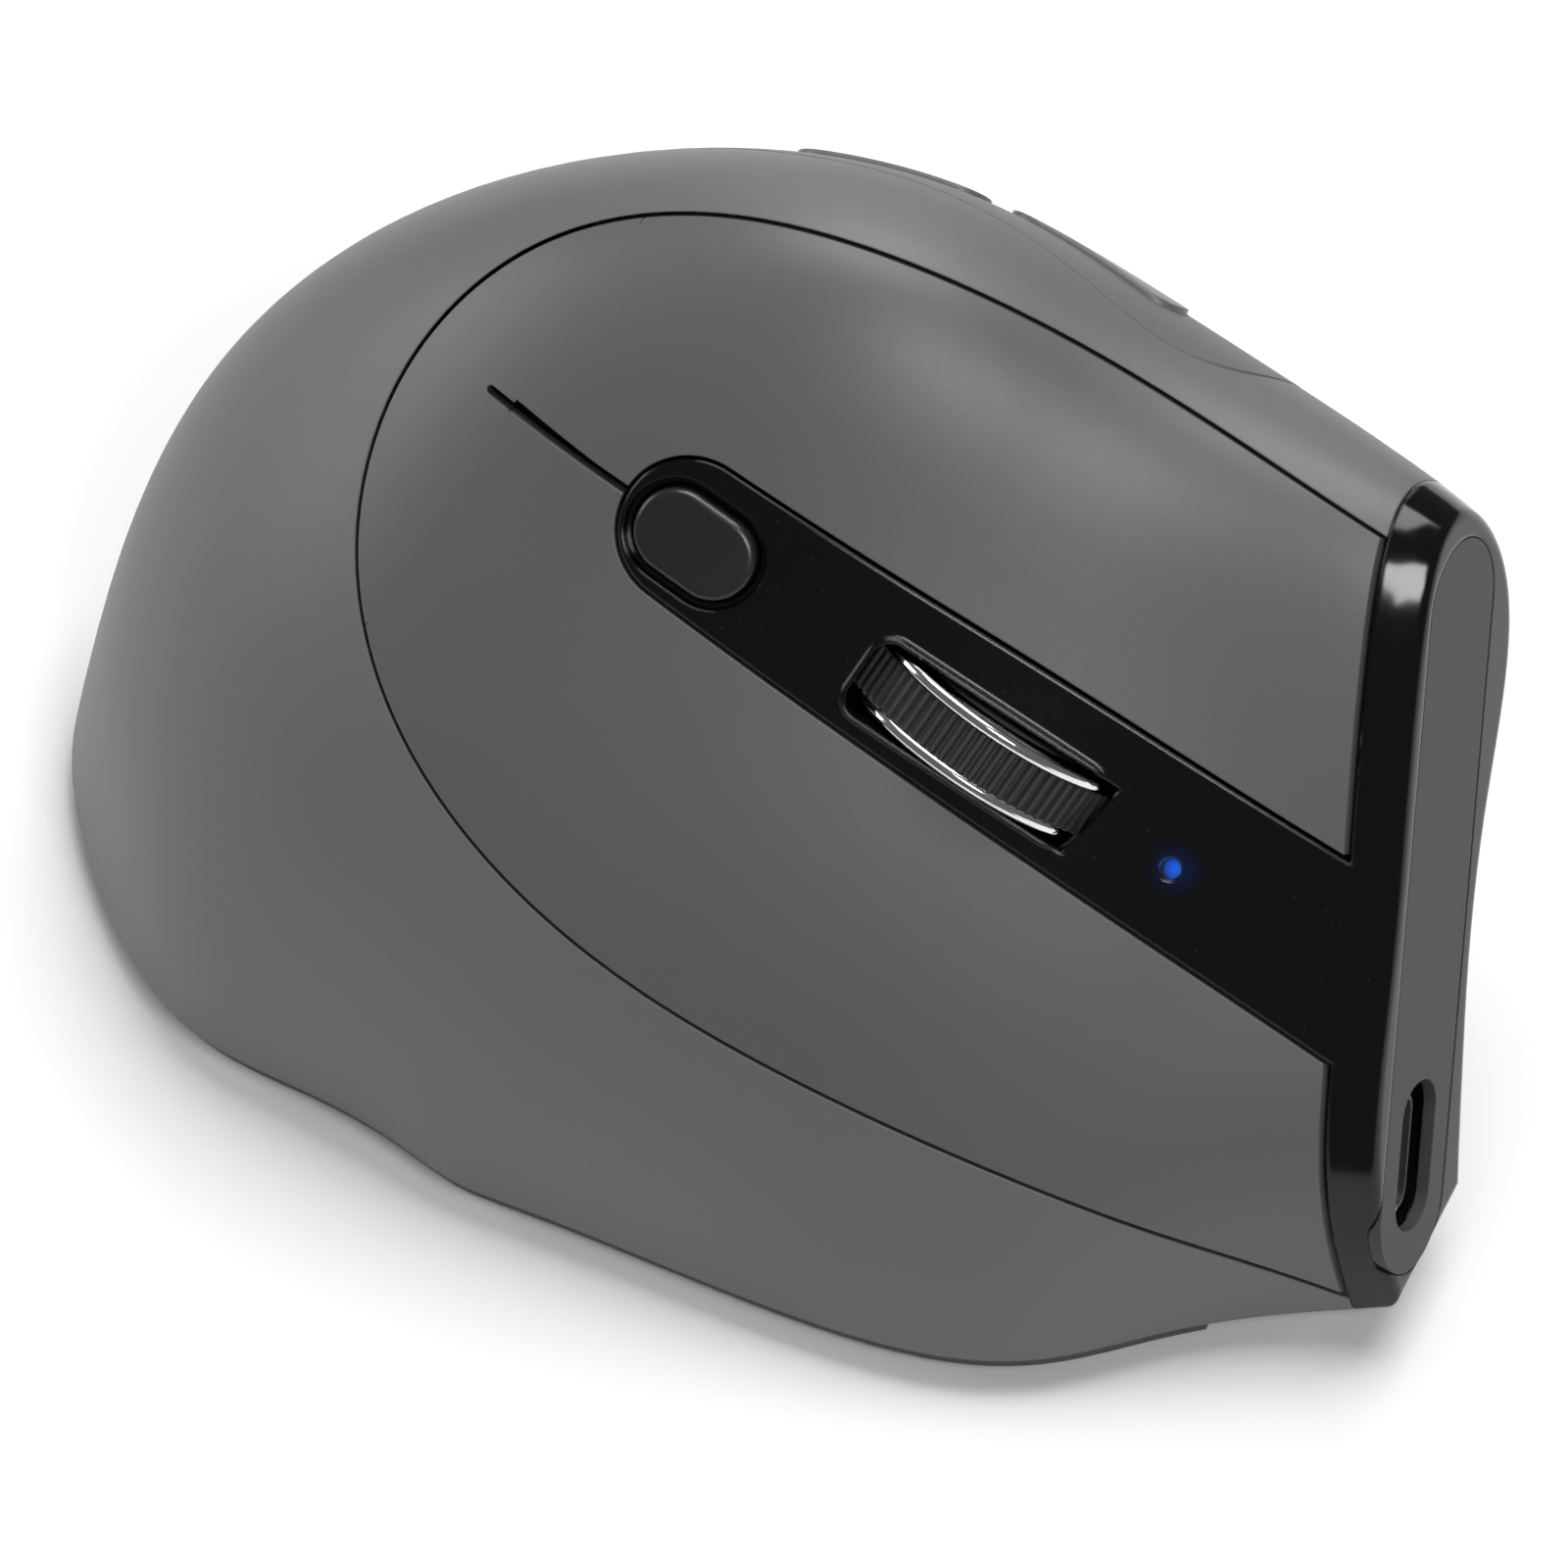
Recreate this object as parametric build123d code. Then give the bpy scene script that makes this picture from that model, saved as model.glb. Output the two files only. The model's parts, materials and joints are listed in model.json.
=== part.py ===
from build123d import *
import math
import os

# Computer mouse for the right hand, upright kind: fingers on the right face, thumb on the left.
# Millimetres.  +X right, +Y forward to the nose, +Z up, origin on the desk under the body.

# ---------------------------------------------------------------- overall form
# Each section is eleven points of (x, height): right foot, right rim, face low, face middle,
# face high, ridge, thumb high, thumb middle, thumb low, left rim, left foot.
upright_sections = {
    66: [(17, -16), (18.5, 4), (19, 14), (8.5, 27.5), (-4, 40), (-13, 46),
         (-16.5, 41), (-6, 29), (5, 15), (11.5, 4), (12, -16)],
    50: [(21.5, -16), (23.5, 5), (21, 17), (10, 31), (-4, 46.5), (-13.5, 51.5),
         (-18, 44.5), (-9.5, 31), (2, 16), (7, 3), (8, -16)],
    34: [(31, -16), (33, 5), (28, 17), (14.5, 33), (-1, 49), (-15, 57),
         (-23, 50), (-18, 33), (-13, 16), (-14, 3), (-15, -16)],
    14: [(33, -16), (36.5, 6), (32, 19), (20, 35.5), (3, 52), (-16, 64),
         (-26, 56), (-25, 36), (-26, 17), (-31, 3), (-33, -16)],
    -6: [(32, -16), (35, 7), (32, 21), (21.5, 38), (5, 55.5), (-14, 67.7),
         (-26.5, 57.5), (-26, 37), (-29, 17), (-36, 3), (-37, -16)],
}
# Behind the palm the sections fan round a line below the desk, by these angles from upright.
# Their heights are measured from that line.
fan_sections = {
    22: [(30.5, 4), (33.8, 29), (30.5, 43), (21, 60), (5, 74), (-12, 79),
         (-25, 70), (-27, 54), (-30, 37), (-34, 25), (-36, 4)],
    44: [(26, 4), (30.5, 30), (29, 43), (19, 56.5), (5, 66), (-9, 67.5),
         (-20, 61), (-25, 50), (-28, 38), (-31, 28), (-32, 4)],
    64: [(23, 4), (28.5, 30), (25.5, 41), (15.5, 52), (4, 58), (-7, 58),
         (-16, 53), (-22, 44), (-25, 35), (-27, 26), (-28, 4)],
    84: [(19, 4), (24.5, 25), (21, 34), (12, 44), (3, 49), (-6, 49),
         (-14, 45), (-19, 37), (-22, 30), (-24, 22), (-25, 4)],
}
fan_line_y = -6.0
fan_line_z = -20.0

wall = 1.8
casing_floor_z = 3.6
underside_start_y = 42.0
underside_radius = 50.0
reach = 120.0
body_middle = (0.6, -0.85)

# ---------------------------------------------------------------- frames
face_origin = (12, 0, 40)
face_normal = (0.761, 0.100, 0.641)
strip_start = (-5.5, 13.6)
strip_angle = -20.5
nose_centre = (3, 52, 29)
nose_normal = (0.10, 1.0, 0.28)
nose_up = (-0.604, -0.158, 0.781)
thumb_origin = (-24, 6, 40)
thumb_normal = (-0.85, 0.10, 0.52)

# ---------------------------------------------------------------- seams
seam_gap = 0.3
face_cut_low = -13.5
face_cut_high = 12.0
panel_outline = [(80, 14), (62, 19), (42, 25), (22.7, 31.3), (4.2, 35.9), (-9.9, 35.4), (-22.9, 29),
                 (-29.7, 18.1), (-29.7, 5.1), (-23.4, -6.3), (-9.1, -17.1), (10.4, -23.8),
                 (33.4, -28.4), (62, -34), (80, -38)]
strip_rear_radius = 5.3
strip_front_s = 66.0
strip_front_half = 6.8
slit_width = 0.7
slit_rear = (-22.6, 19.2)
key_front_gap = 0.5
flex_s = -16.0
flex_gap = 0.05

# ---------------------------------------------------------------- nose
cap_depth = 3.3
cap_front_wall = 1.2
cap_edge_radius = 1.0
plate_length = 56.0
plate_rise = 0.4
plate_width = 10.4
plate_thickness = 1.0
plate_fit = 0.1
port_along = -18.5
port_length = 11.6
port_width = 5.6
port_corner = 2.6

socket_size = (8.94, 3.16)
socket_wall = 0.3
socket_mouth = -1.3
socket_rear = -8.6
socket_back_wall = 0.7
tongue_size = (6.7, 0.7)
usb_board_size = (12.5, 9.6, 1.0)
usb_board_rear = -13.0

# ---------------------------------------------------------------- trim strip details
dpi_s = 0.8
dpi_t = -0.5
dpi_length = 9.6
dpi_width = 6.4
dpi_dish = 0.7
dpi_dish_depth = 0.8
button_clear = 0.25
dpi_stand = 0.5
slot_s = 25.5
slot_t = -1.2
slot_length = 19.2
slot_width = 6.1
slot_corner = 1.5
lip_width = 0.4
lip_height = 0.25
led_s = 42.5
led_t = -1.0
led_radius = 0.75

# ---------------------------------------------------------------- wheel
wheel_radius = 12.5
wheel_axis_n = -7.0
wheel_width = 5.2
wheel_room = 0.8
rim_width = 0.9
tyre_depth = 2.2
groove_count = 90
groove_depth = 0.35
axle_radius = 1.45
axle_into_encoder = 2.1
bearing_clear = 0.06
cradle_wall = 1.4
cradle_gap = 0.6
cradle_half = 5.0
cradle_low = -22.4
encoder_length = 10.0
encoder_low = -10.8
encoder_high = -2.8
encoder_thickness = 3.4
arm_thickness = 1.3
arm_reach = 1.5

# ---------------------------------------------------------------- face electronics
board_thickness = 1.2
face_board_n = -8.4
face_board_s = (-7.0, 45.0)
face_board_half = 14.5
window_length = 26.4
window_clear = 0.5
board_posts_st = [(-3, 11.5), (-3, -11.5), (42, 10), (42, -5.5)]
palm_posts = [(-20, -8), (-19.5, 4)]
frame_top_n = -11.4
frame_thickness = 1.6
frame_outline = [(-30.5, 27), (-15, 27), (-12, 20), (40, 20), (40, -42), (-30.5, -42)]
switch_length = 12.8
switch_width = 5.8
switch_height = 6.2
plunger_height = 0.7
nub_plunger_length = 2.6
nub_plunger_width = 1.4
switch_well = 1.6
left_switch = (22.0, 11.2)
right_switch = (38.0, -12.0)
wheel_switch = (34.0, 7.0)
nub_radius = 1.6
tact_size = 6.0
tact_height = 3.4
tact_stem_radius = 1.7
tact_well = 1.4
press_clear = 0.05

# ---------------------------------------------------------------- thumb side
thumb_outline = [(-19, -10), (-6, -16), (12, -16), (27, -10), (31, 4), (24, 17), (10, 22.5),
                 (-8, 21.5), (-22, 17.5), (-26, 8)]
thumb_cut_low = -12.5
thumb_cut_high = 22.0
side_button_length = 15.0
side_button_width = 5.6
forward_button_at = (-8.2, 14.0)
back_button_at = (8.4, 15.0)
side_button_stand = 0.4
side_button_low = 7.4
thumb_board_level = 3.0
thumb_board_length = 42.0
thumb_board_width = 9.0
thumb_board_y = 14.5
thumb_posts = [(-18.5, 13), (18.5, 13)]
thumb_post_radius = 1.9

# ---------------------------------------------------------------- base
skate_thickness = 0.9
base_bottom_z = 0.7
base_inset = 0.9
base_front_y = 43.1
base_chamfer = 1.0
boss_radius = 3.1
boss_height = 12.0
boss_spots = [(30.2, 22), (28.8, -14), (-28.4, -14), (-19.5, 20)]
screw_radius = 0.85
screw_head_radius = 1.9
screw_head_height = 1.2
main_board_bottom_z = 6.0
main_board_outline = [(-17, -12), (15, -12), (15, 34), (-6, 34), (-17, 12)]
board_posts = [(-13, -8), (11, -8), (9, 30)]
post_radius = 2.0
sensor_spot = (0, 6)
power_spot = (-10.5, 8)
power_travel = 2.0
knob_length = 6.0
knob_width = 3.8
knob_recess = 0.5
groove_pitch = 1.6
power_stem = 1.2
power_case = (5.2, 9.4)
sensor_window = (12.0, 7.0)
sensor_case = (10.8, 9.0, 2.2)
sensor_opening = (7.6, 4.6)
window_fit = 0.2
battery_size = (26, 30, 6)
battery_y = -32.0
pad_thickness = 0.4
plug_spot = (-5, -8.6)
plug_size = (6.0, 4.4, 3.4)
wire_pitch = 2.0
wire_radius = 0.5


# ---------------------------------------------------------------- helpers
def frame_at(origin, toward, normal):
    """Plane at origin facing normal, with x along the part of toward that lies in it."""
    z = Vector(*normal).normalized()
    x = Vector(*toward)
    x = (x - z * x.dot(z)).normalized()
    return Plane(origin=Vector(*origin), x_dir=x, z_dir=z)


def prism(plane, sketch, low, high):
    """Sketch swept along the plane's normal between two heights."""
    return Solid.extrude((plane.offset(low) * sketch).face(), plane.z_dir * (high - low))


def one_solid(shape):
    """The largest solid of a shape."""
    return max(shape.solids(), key=lambda s: s.volume)


def drum(plane, x, y, low, high, radius):
    return prism(plane, Pos(x, y) * Circle(radius), low, high)


def block(plane, x, y, low, high, length, width):
    return prism(plane, Pos(x, y) * Rectangle(length, width), low, high)


face = frame_at(face_origin, (0, 1, 0), face_normal)
turn = math.radians(strip_angle)
strip = frame_at(face.from_local_coords(Vector(*strip_start, 0)),
                 face.x_dir * math.cos(turn) + face.y_dir * math.sin(turn), face_normal)
nose = frame_at(nose_centre, nose_up, nose_normal)
thumb = frame_at(thumb_origin, (0, -1, 0), thumb_normal)


# ---------------------------------------------------------------- body form
def moved_inward(points, inset):
    """Section points shifted square to the section by inset."""
    moved = []
    last = len(points) - 1
    for i, (x, h) in enumerate(points):
        if i == 0:
            moved.append((x - inset, h))
        elif i == last:
            moved.append((x + inset, h))
        else:
            dx = points[i + 1][0] - points[i - 1][0]
            dh = points[i + 1][1] - points[i - 1][1]
            run = math.hypot(dx, dh)
            moved.append((x - inset * dh / run, h + inset * dx / run))
    return moved


def section_wire(points, place):
    path = [place(x, h) for x, h in points]
    return Wire([Spline(*path).edge(), Line(path[-1], path[0]).edge()])


def skin(inset):
    """Solid bounded by the body's outer surface moved inward by inset."""
    wires = []
    for y, points in upright_sections.items():
        wires.append(section_wire(moved_inward(points, inset), lambda x, h: Vector(x, y, h)))
    for angle, points in fan_sections.items():
        c = math.cos(math.radians(angle))
        s = math.sin(math.radians(angle))
        wires.append(section_wire(moved_inward(points, inset),
                                  lambda x, h: Vector(x, fan_line_y - h * s, fan_line_z + h * c)))
    return Solid.make_loft(wires)


def underside_band(lift, y_from, thickness):
    """Band that follows the casing's lower edge: level, then an arc rising under the nose."""
    sweep_angle = math.radians(28)
    z0 = casing_floor_z + lift
    r = underside_radius - lift
    end_y = underside_start_y + r * math.sin(sweep_angle)
    end_z = z0 + r * (1 - math.cos(sweep_angle))
    mid_y = underside_start_y + r * math.sin(sweep_angle / 2)
    mid_z = z0 + r * (1 - math.cos(sweep_angle / 2))
    edge = [Line((y_from, z0), (underside_start_y, z0)),
            ThreePointArc((underside_start_y, z0), (mid_y, mid_z), (end_y, end_z)),
            Polyline((end_y, end_z), (end_y, end_z - thickness), (y_from, z0 - thickness),
                     (y_from, z0))]
    return prism(Plane.YZ, make_face(edge), -reach / 2, reach / 2)


def ahead_of_nose(depth):
    """Everything in front of the plane that lies depth behind the nose plate's plane."""
    return prism(nose, Rectangle(reach * 2, reach * 2), -depth, reach / 2)


casing = skin(0) - ahead_of_nose(0) - underside_band(0, -reach, reach / 2)
core = skin(wall)
hollow = casing - core


# ---------------------------------------------------------------- outlines
def grown(points, amount, closed):
    """Outline points, listed anticlockwise, moved outward square to their neighbours."""
    moved = []
    last = len(points) - 1
    for i, (x, y) in enumerate(points):
        before = points[i - 1] if closed or i > 0 else points[i]
        after = points[(i + 1) % len(points)] if closed or i < last else points[i]
        dx = after[0] - before[0]
        dy = after[1] - before[1]
        run = math.hypot(dx, dy)
        moved.append((x + amount * dy / run, y - amount * dx / run))
    return moved


def panel_sketch(grow=0.0):
    points = grown(panel_outline, grow, False)
    return make_face([Spline(*points), Line(points[-1], points[0])])


def strip_sketch(grow=0.0):
    rear = strip_rear_radius + grow
    front = strip_front_half + grow
    wedge = make_face(Polyline((0, rear), (strip_front_s, front), (strip_front_s, -front),
                               (0, -rear), (0, rear)))
    return wedge + Circle(rear)


def slit_sketch():
    """Narrow cut from the strip's rear end back into the palm panel, in the strip's frame."""
    dx = slit_rear[0] - strip_start[0]
    dy = slit_rear[1] - strip_start[1]
    s = dx * math.cos(turn) + dy * math.sin(turn)
    t = dy * math.cos(turn) - dx * math.sin(turn)
    run = math.hypot(s, t)
    lean = math.degrees(math.atan2(-t, -s))
    middle = Pos(s / 2, t / 2) * Rot(0, 0, lean) * Rectangle(run, slit_width)
    return middle + Pos(s, t) * Circle(slit_width / 2)


def side_of_strip(sign, start):
    """Half plane on one side of the strip's middle line, ahead of start."""
    return Pos(start + reach / 2, sign * reach / 2) * Rectangle(reach, reach)


def pill(length, width):
    return SlotOverall(length, width)


def thumb_sketch(grow=0.0):
    return make_face(Spline(*grown(thumb_outline, grow, True), periodic=True))


# ---------------------------------------------------------------- outside pieces
def make_centre_trim():
    """Gloss strip along the fingers and the cap round the nose, moulded in one."""
    cap = one_solid(casing & prism(nose, Rectangle(reach, reach), -cap_depth, 1))
    front = [e for e in cap.edges() if abs(nose.to_local_coords(e).bounding_box().max.Z) < 0.01
             and abs(nose.to_local_coords(e).bounding_box().min.Z) < 0.01]
    cap = cap.fillet(cap_edge_radius, front)
    rear = prism(nose, Rectangle(reach, reach), -cap_depth - 1, -cap_front_wall - plate_thickness)
    cap = cap - (rear & core)
    run = hollow & prism(strip, strip_sketch(), face_cut_low, face_cut_high)
    run = run - ahead_of_nose(cap_depth)
    trim = cap + one_solid(run)
    bed = Pos(plate_rise, 0) * pill(plate_length + 2 * plate_fit, plate_width + 2 * plate_fit)
    trim = trim - prism(nose, bed, -plate_thickness, 2)
    trim = trim - port_prism(0.3)
    lip = prism(strip, Pos(slot_s, slot_t) * slot_sketch(lip_width), -1, face_cut_high)
    trim = trim + one_solid((lip & skin(-lip_height)) - core)
    trim = trim - prism(strip, Pos(slot_s, slot_t) * slot_sketch(0), face_cut_low, face_cut_high)
    trim = trim - drum(wheel_frame, 0, 0, -slot_width / 2, slot_width / 2, wheel_radius + wheel_room)
    hole = pill(dpi_length + 2 * button_clear, dpi_width + 2 * button_clear)
    trim = trim - prism(strip, Pos(dpi_s, dpi_t) * hole, face_cut_low, face_cut_high)
    dish = pill(dpi_length + 2 * dpi_dish, dpi_width + 2 * dpi_dish)
    dish_floor = prism(strip, Pos(dpi_s, dpi_t) * dish, face_cut_low, face_cut_high)
    trim = trim - (dish_floor - skin(dpi_dish_depth))
    return one_solid(trim - drum(strip, led_s, led_t, face_cut_low, face_cut_high, led_radius + 0.05))


def slot_sketch(grow):
    return RectangleRounded(slot_length + 2 * grow, slot_width + 2 * grow, slot_corner + grow)


def port_prism(grow):
    opening = RectangleRounded(port_length + 2 * grow, port_width + 2 * grow, port_corner + grow)
    return prism(nose, Pos(port_along, 0) * opening, -cap_depth * 2, 2)


def make_nose_plate():
    plate = prism(nose, Pos(plate_rise, 0) * pill(plate_length, plate_width), -plate_thickness, 0)
    return one_solid(plate - port_prism(0))


panel_all = hollow & prism(face, panel_sketch(), face_cut_low, face_cut_high)
panel_all = panel_all - ahead_of_nose(cap_depth + key_front_gap)
panel_all = panel_all - prism(strip, strip_sketch(seam_gap) + slit_sketch(),
                              face_cut_low, face_cut_high)


def make_palm_panel():
    """Rear part of the finger panel, fixed, with two posts down to the mid frame."""
    behind = Pos(flex_s - reach / 2, 0) * Rectangle(reach, reach)
    panel = panel_all & prism(strip, behind, face_cut_low, face_cut_high)
    for s, t in palm_posts:
        post = drum(strip, s, t, frame_top_n, face_cut_high, post_radius)
        panel = panel + (post & skin(wall / 2))
    return one_solid(panel)


def make_key(sign, spot):
    """Finger key that flexes at its rear, with a nub over its switch."""
    key = panel_all & prism(strip, side_of_strip(sign, flex_s + flex_gap),
                            face_cut_low, face_cut_high)
    top = face_board_n + switch_height + plunger_height + press_clear
    nub = drum(strip, spot[0], spot[1], top, face_cut_high, nub_radius)
    return one_solid(one_solid(key) + (nub & skin(wall / 2)))


def make_thumb_panel():
    panel = hollow & prism(thumb, thumb_sketch(), thumb_cut_low, thumb_cut_high)
    for spot in (forward_button_at, back_button_at):
        hole = pill(side_button_length + 2 * button_clear, side_button_width + 2 * button_clear)
        panel = panel - prism(thumb, Pos(*spot) * hole, thumb_cut_low, thumb_cut_high)
    for x, y in thumb_posts:
        post = drum(thumb, x, y, thumb_board_level, thumb_cut_high, thumb_post_radius)
        panel = one_solid(panel) + (post & skin(wall / 2))
        panel = panel - drum(thumb, x, y, 0, thumb_board_level + 3.8, screw_radius)
    return one_solid(panel)


def make_main_shell():
    """Grey casing: rear dome, ridge, lower skirt and the floor under the nose."""
    opening = prism(face, panel_sketch(seam_gap), face_cut_low, face_cut_high)
    shell = hollow - opening
    shell = shell - prism(thumb, thumb_sketch(seam_gap), thumb_cut_low, thumb_cut_high)
    floor = casing & underside_band(wall, base_front_y + 0.2, wall)
    shell = one_solid(shell) + one_solid(floor - opening)
    for x, y in boss_spots:
        boss = drum(Plane.XY, x, y, casing_floor_z, casing_floor_z + boss_height, boss_radius)
        shell = shell + (boss & casing)
    for x, y in boss_spots:
        shell = shell - drum(Plane.XY, x, y, 0, casing_floor_z + boss_height - 2, screw_radius)
    return one_solid(shell - ahead_of_nose(cap_depth + 0.1))



# ---------------------------------------------------------------- buttons and light
def height_in_strip(edge):
    return round(strip.to_local_coords(edge).center().Z, 3)


def make_dpi_button():
    top = skin(-dpi_stand)
    cap = prism(strip, Pos(dpi_s, dpi_t) * pill(dpi_length, dpi_width), -1.0, face_cut_high) & top
    crown = cap.edges().group_by(height_in_strip)[-1]
    cap = one_solid(cap).fillet(0.5, crown)
    stem_low = face_board_n + tact_height + plunger_height + press_clear
    return one_solid(cap + drum(strip, dpi_s, dpi_t, stem_low, 0, tact_stem_radius))


def make_led_lens():
    light = drum(strip, led_s, led_t, face_board_n + 1.1, face_cut_high, led_radius)
    flange = drum(strip, led_s, led_t, -3.4, -0.4, led_radius + 0.6)
    return one_solid((light & skin(0)) + (flange & core))


def make_led_chip():
    return block(strip, led_s, led_t, face_board_n, face_board_n + 0.8, 1.6, 0.8)


# ---------------------------------------------------------------- wheel
wheel_frame = Plane(origin=strip.from_local_coords(Vector(slot_s, slot_t, wheel_axis_n)),
                    x_dir=strip.x_dir, z_dir=strip.y_dir)


def make_tyre():
    """Ribbed rubber band; its grooves run across the tread."""
    outer = wheel_radius - 0.15
    half = math.pi / groove_count
    points = []
    for i in range(groove_count):
        a = 2 * math.pi * i / groove_count
        for step, r in ((-0.7, outer - groove_depth), (-0.3, outer), (0.3, outer), (0.7, outer - groove_depth)):
            points.append((r * math.cos(a + step * half), r * math.sin(a + step * half)))
    tread = make_face(Polyline(*points, close=True))
    half_width = wheel_width / 2 - rim_width
    band = prism(wheel_frame, tread, -half_width, half_width)
    return one_solid(band - drum(wheel_frame, 0, 0, -wheel_width, wheel_width, wheel_radius - tyre_depth))


def make_rims():
    """Two bright rings, one each side of the tyre."""
    rims = []
    for side in (-1, 1):
        low = side * wheel_width / 2 if side < 0 else wheel_width / 2 - rim_width
        ring = drum(wheel_frame, 0, 0, low, low + rim_width, wheel_radius)
        ring = ring - drum(wheel_frame, 0, 0, low - 1, low + rim_width + 1, wheel_radius - tyre_depth)
        edges = ring.edges().filter_by(lambda e: abs(e.radius - wheel_radius) < 0.01
                                       if e.geom_type == GeomType.CIRCLE else False)
        rims.append(ring.fillet(rim_width * 0.42, edges))
    return Compound(rims)


def make_hub():
    """Dark wheel core with five windows, carried by a round axle at each end."""
    outer = wheel_radius - tyre_depth
    core_disc = drum(wheel_frame, 0, 0, -wheel_width / 2, wheel_width / 2, outer)
    for side in (-1, 1):
        dish = drum(wheel_frame, 0, 0, 0.8, reach, outer - 1.4)
        dish = dish - drum(wheel_frame, 0, 0, 0, reach, 3.2)
        if side < 0:
            dish = mirror(dish, about=wheel_frame)
        core_disc = core_disc - dish
    axle = drum(wheel_frame, 0, 0, -cradle_outer - axle_into_encoder, cradle_outer + 0.3,
                axle_radius)
    return one_solid(core_disc + axle)


cradle_inner = wheel_width / 2 + cradle_gap
cradle_outer = cradle_inner + cradle_wall
encoder_t = -cradle_outer - encoder_thickness / 2


def make_cradle():
    """Fork that carries the wheel and presses its own switch when the wheel is pushed."""
    body = block(strip, slot_s, slot_t, cradle_low, cradle_low + cradle_wall,
                 2 * cradle_half, 2 * cradle_outer)
    for side in (-1, 1):
        middle = side * (cradle_inner + cradle_outer) / 2
        body = body + block(strip, slot_s, slot_t + middle, cradle_low, wheel_axis_n + 2.4,
                            2 * cradle_half, cradle_wall)
    arm_low = face_board_n + tact_height + plunger_height + press_clear
    arm_high = arm_low + arm_thickness
    wall_t = slot_t + cradle_inner + cradle_wall / 2
    arm_start = slot_s - cradle_half
    arm_end = wheel_switch[0] + arm_reach
    foot_start = slot_t + cradle_inner
    foot_end = wheel_switch[1] + arm_reach
    arm = block(strip, (arm_start + arm_end) / 2, wall_t, arm_low, arm_high,
                arm_end - arm_start, cradle_wall)
    foot = block(strip, wheel_switch[0], (foot_start + foot_end) / 2, arm_low, arm_high,
                 2 * arm_reach, foot_end - foot_start)
    raised = block(strip, slot_s, wall_t, wheel_axis_n, arm_high, 2 * cradle_half, cradle_wall)
    body = body + raised + arm + foot
    return one_solid(body - drum(wheel_frame, 0, 0, -reach, reach, axle_radius + bearing_clear))


def make_encoder():
    """Wheel encoder carried on the fork's outer wall."""
    case = block(strip, slot_s, slot_t + encoder_t, encoder_low, encoder_high,
                 encoder_length, encoder_thickness)
    return one_solid(case - drum(wheel_frame, 0, 0, -reach, 0, axle_radius + bearing_clear))


# ---------------------------------------------------------------- face electronics
def wheel_window(low, high):
    grow = window_clear
    hole = block(strip, slot_s, slot_t, low, high, window_length, 2 * (wheel_width / 2 + grow))
    fork = block(strip, slot_s, slot_t, low, high, 2 * (cradle_half + grow),
                 2 * (cradle_outer + grow))
    side = block(strip, slot_s, slot_t + encoder_t, low, high, encoder_length + 2 * grow,
                 encoder_thickness + 2 * grow)
    return hole + fork + side


def make_mid_frame():
    """Sloping inner deck that carries the face board."""
    low = frame_top_n - frame_thickness
    deck = prism(face, make_face(Polyline(*frame_outline, close=True)), low, frame_top_n)
    deck = one_solid((deck & casing) - hollow)
    deck = deck - prism(Plane.XY, Rectangle(reach * 2, reach * 2), -reach, casing_floor_z)
    deck = deck - wheel_window(low - 1, frame_top_n + 1)
    for x, y in boss_spots:
        deck = deck - drum(Plane.XY, x, y, 0, casing_floor_z + boss_height + 1, boss_radius + 0.4)
    deck = one_solid(deck)
    for s, t in board_posts_st:
        deck = deck + drum(strip, s, t, frame_top_n - 0.2, face_board_n - board_thickness,
                           post_radius)
        deck = deck - drum(strip, s, t, low - 1, 0, screw_radius)
    return one_solid(deck)


def make_face_board():
    length = face_board_s[1] - face_board_s[0]
    board = block(strip, sum(face_board_s) / 2, 0, face_board_n - board_thickness,
                  face_board_n, length, 2 * face_board_half)
    board = board - wheel_window(face_board_n - 3, face_board_n + 1)
    for s, t in board_posts_st:
        board = board - drum(strip, s, t, face_board_n - 3, 0, screw_radius + 0.2)
    return one_solid(board)


def make_screw(plane, x, y, seat, direction, shank_length):
    """Pan head with a cross recess; direction is the side of the seat that the head is on."""
    head_low = min(seat, seat + direction * screw_head_height)
    shank_low = min(seat, seat - direction * shank_length)
    head = drum(plane, x, y, head_low, head_low + screw_head_height, screw_head_radius)
    shank = drum(plane, x, y, shank_low, shank_low + shank_length, screw_radius - 0.05)
    cross_low = seat + direction * screw_head_height - 0.35
    cross = block(plane, x, y, cross_low, cross_low + 0.7, 2.2, 0.5)
    cross = cross + block(plane, x, y, cross_low, cross_low + 0.7, 0.5, 2.2)
    return one_solid(head + shank - cross)


def make_microswitch(spot):
    case = block(strip, spot[0], spot[1], face_board_n, face_board_n + switch_height,
                 switch_length, switch_width)
    case = case.fillet(0.4, case.edges().group_by(height_in_strip)[-1])
    top = face_board_n + switch_height
    return one_solid(case - block(strip, spot[0], spot[1], top - switch_well, top + 1,
                                  nub_plunger_length + 0.4, nub_plunger_width + 0.4))


def make_microswitch_plunger(spot):
    top = face_board_n + switch_height + plunger_height
    return block(strip, spot[0], spot[1], top - plunger_height - 1.0, top,
                 nub_plunger_length, nub_plunger_width)


def make_tact(plane, x, y, level):
    case = block(plane, x, y, level, level + tact_height, tact_size, tact_size)
    top = level + tact_height
    return one_solid(case - drum(plane, x, y, top - tact_well, top + 1, tact_stem_radius + 0.1))


def make_tact_plunger(plane, x, y, level):
    top = level + tact_height + plunger_height
    return drum(plane, x, y, top - plunger_height - 0.8, top, tact_stem_radius)


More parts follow.
